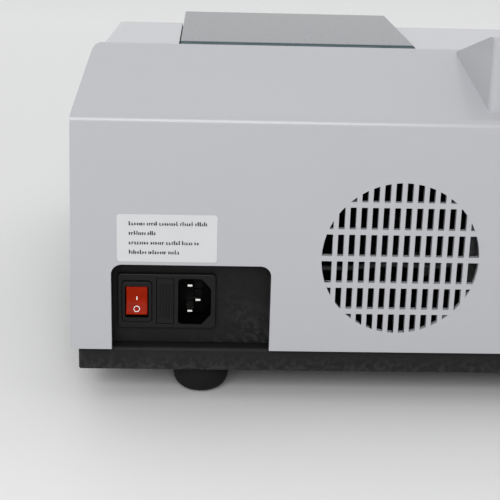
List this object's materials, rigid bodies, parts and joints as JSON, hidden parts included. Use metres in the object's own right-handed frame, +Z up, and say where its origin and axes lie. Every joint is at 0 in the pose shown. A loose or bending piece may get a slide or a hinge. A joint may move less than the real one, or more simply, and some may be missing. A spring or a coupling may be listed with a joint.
{
  "type": "spectrophotometer",
  "caption": "Bench spectrophotometer with a hinged sample compartment lid, sliding cuvette carriage, geared wavelength dial, keypad, cooling fan and switched, fused mains inlet.",
  "frame": {"origin": "on the bench surface, under the centre of the whole instrument's box, pull-rod knob included", "axes": "+Z up, +Y towards the rear wall with the mains inlet, +X towards the right-hand side seen from the front"},
  "size_m": [0.482, 0.3862, 0.1932],
  "materials": {
    "housing": "fine-textured pale grey moulding",
    "lid": "satin blue-grey moulding",
    "black_sheet": "fine-textured black paint on sheet metal",
    "black_moulding": "black moulding, low sheen",
    "rubber": "moulded rubber",
    "steel": "bright turned steel",
    "pin_plating": "nickel-plated",
    "rocker": "translucent red moulding with white marks",
    "clear_glass": "clear glass",
    "clear_plastic": "clear acrylic",
    "label": "white film label with plain grey bars for text",
    "panel_film": "dark printed film on a plastic plate",
    "keycap": "pale grey key caps",
    "board": "green laminate with parts",
    "dial": "white disc with dark graduations",
    "brass": "machined",
    "bare_sheet": "bare aluminium sheet",
    "casting": "sand-blasted die casting",
    "lead_sheath": "grey insulated lead",
    "transformer": "lacquered core and wound bobbin"
  },
  "bodies": {
    "body": {"upper_housing": "housing", "base_plate": "black_sheet", "rear_power_panel": "black_sheet", "foot_rear_right": "rubber", "foot_rear_left": "rubber", "foot_front_right": "rubber", "foot_front_left": "rubber", "housing_screw_1": "steel", "housing_screw_2": "steel", "housing_screw_3": "steel", "housing_screw_4": "steel", "inlet_housing": "black_moulding", "inlet_pin_live": "pin_plating", "inlet_pin_neutral": "pin_plating", "inlet_pin_earth": "pin_plating", "rating_label": "label", "lid_hinge_rod": "steel", "sample_well": "black_moulding", "lid_seal": "rubber", "guide_rod": "steel", "rod_bushing": "black_moulding", "control_panel": "panel_film", "display_window": "clear_plastic", "display_board": "board", "dial_window": "clear_plastic", "wavelength_bracket": "bare_sheet", "monochromator_base": "casting", "monochromator_cover": "black_sheet", "collimating_mirror": "casting", "focusing_mirror": "casting", "entrance_slit": "black_sheet", "exit_slit": "black_sheet", "lamp_bracket": "bare_sheet", "halogen_lamp": "clear_glass", "condenser_lens": "clear_glass", "fan_frame": "black_moulding", "fan_bracket": "bare_sheet", "lamp_lead": "lead_sheath", "detector_housing": "black_sheet", "power_transformer": "transformer", "main_board": "board"},
    "rocker": {"power_rocker": "rocker"},
    "fuse_holder": {"fuse_drawer": "black_moulding", "fuse": "clear_glass"},
    "lid": {"compartment_lid": "lid"},
    "carriage": {"cuvette_carriage": "black_moulding", "pull_rod": "steel", "pull_rod_knob": "black_moulding"},
    "mode_key_cap": {"mode_key": "keycap"},
    "zero_key_cap": {"zero_key": "keycap"},
    "full_scale_key_cap": {"full_scale_key": "keycap"},
    "enter_key_cap": {"enter_key": "keycap"},
    "wavelength_control": {"wavelength_knob": "black_moulding", "knob_shaft": "steel", "knob_pinion": "brass"},
    "dial": {"wavelength_dial": "dial", "dial_shaft": "steel"},
    "grating": {"grating_table": "casting", "diffraction_grating": "clear_glass"},
    "fan": {"fan_impeller": "black_moulding"}
  },
  "joints": [
    {"name": "rocker_tilt", "type": "hinge", "parent": "body", "child": "rocker", "pos_m": [0.2072, 0.18215, 0.0541], "axis": [-1, 0, 0], "range_deg": [0, 20]},
    {"name": "fuse_drawer_slide", "type": "slide", "parent": "body", "child": "fuse_holder", "axis": [0, 1, 0], "range_m": [0, 0.022]},
    {"name": "lid_hinge", "type": "hinge", "parent": "body", "child": "lid", "pos_m": [0.12535, 0.12685, 0.1754], "axis": [-1, 0, 0], "range_deg": [0, 95]},
    {"name": "carriage_slide", "type": "slide", "parent": "body", "child": "carriage", "axis": [0, -1, 0], "range_m": [0, 0.042]},
    {"name": "mode_key_press", "type": "slide", "parent": "body", "child": "mode_key_cap", "axis": [0, 0.3659, -0.9306], "range_m": [0, 0.0012], "stiffness_N_per_m": 400, "springref_m": -0.0015},
    {"name": "zero_key_press", "type": "slide", "parent": "body", "child": "zero_key_cap", "axis": [0, 0.3659, -0.9306], "range_m": [0, 0.0012], "stiffness_N_per_m": 400, "springref_m": -0.0015},
    {"name": "full_scale_key_press", "type": "slide", "parent": "body", "child": "full_scale_key_cap", "axis": [0, 0.3659, -0.9306], "range_m": [0, 0.0012], "stiffness_N_per_m": 400, "springref_m": -0.0015},
    {"name": "enter_key_press", "type": "slide", "parent": "body", "child": "enter_key_cap", "axis": [0, 0.3659, -0.9306], "range_m": [0, 0.0012], "stiffness_N_per_m": 400, "springref_m": -0.0015},
    {"name": "wavelength_knob_turn", "type": "hinge", "parent": "body", "child": "wavelength_control", "pos_m": [0.015, -0.08879, 0.12281], "axis": [0, -0.3659, 0.9306], "range_deg": [-600, 600]},
    {"name": "wavelength_dial_turn", "type": "hinge", "parent": "body", "child": "dial", "pos_m": [0.015, -0.05157, 0.13745], "axis": [0, -0.3659, 0.9306], "range_deg": [-150, 150]},
    {"name": "grating_turn", "type": "hinge", "parent": "body", "child": "grating", "pos_m": [-0.06, 0.04285, 0.061], "axis": [0, 0, 1], "range_deg": [-12, 12]},
    {"name": "fan_spin", "type": "hinge", "parent": "body", "child": "fan", "pos_m": [0.0736, 0.15095, 0.0814], "axis": [0, 1, 0], "continuous": true}
  ],
  "couplings": [
    {"joint": "wavelength_dial_turn", "follows": "wavelength_knob_turn", "ratio": -0.25},
    {"joint": "grating_turn", "follows": "wavelength_knob_turn", "ratio": 0.02}
  ]
}
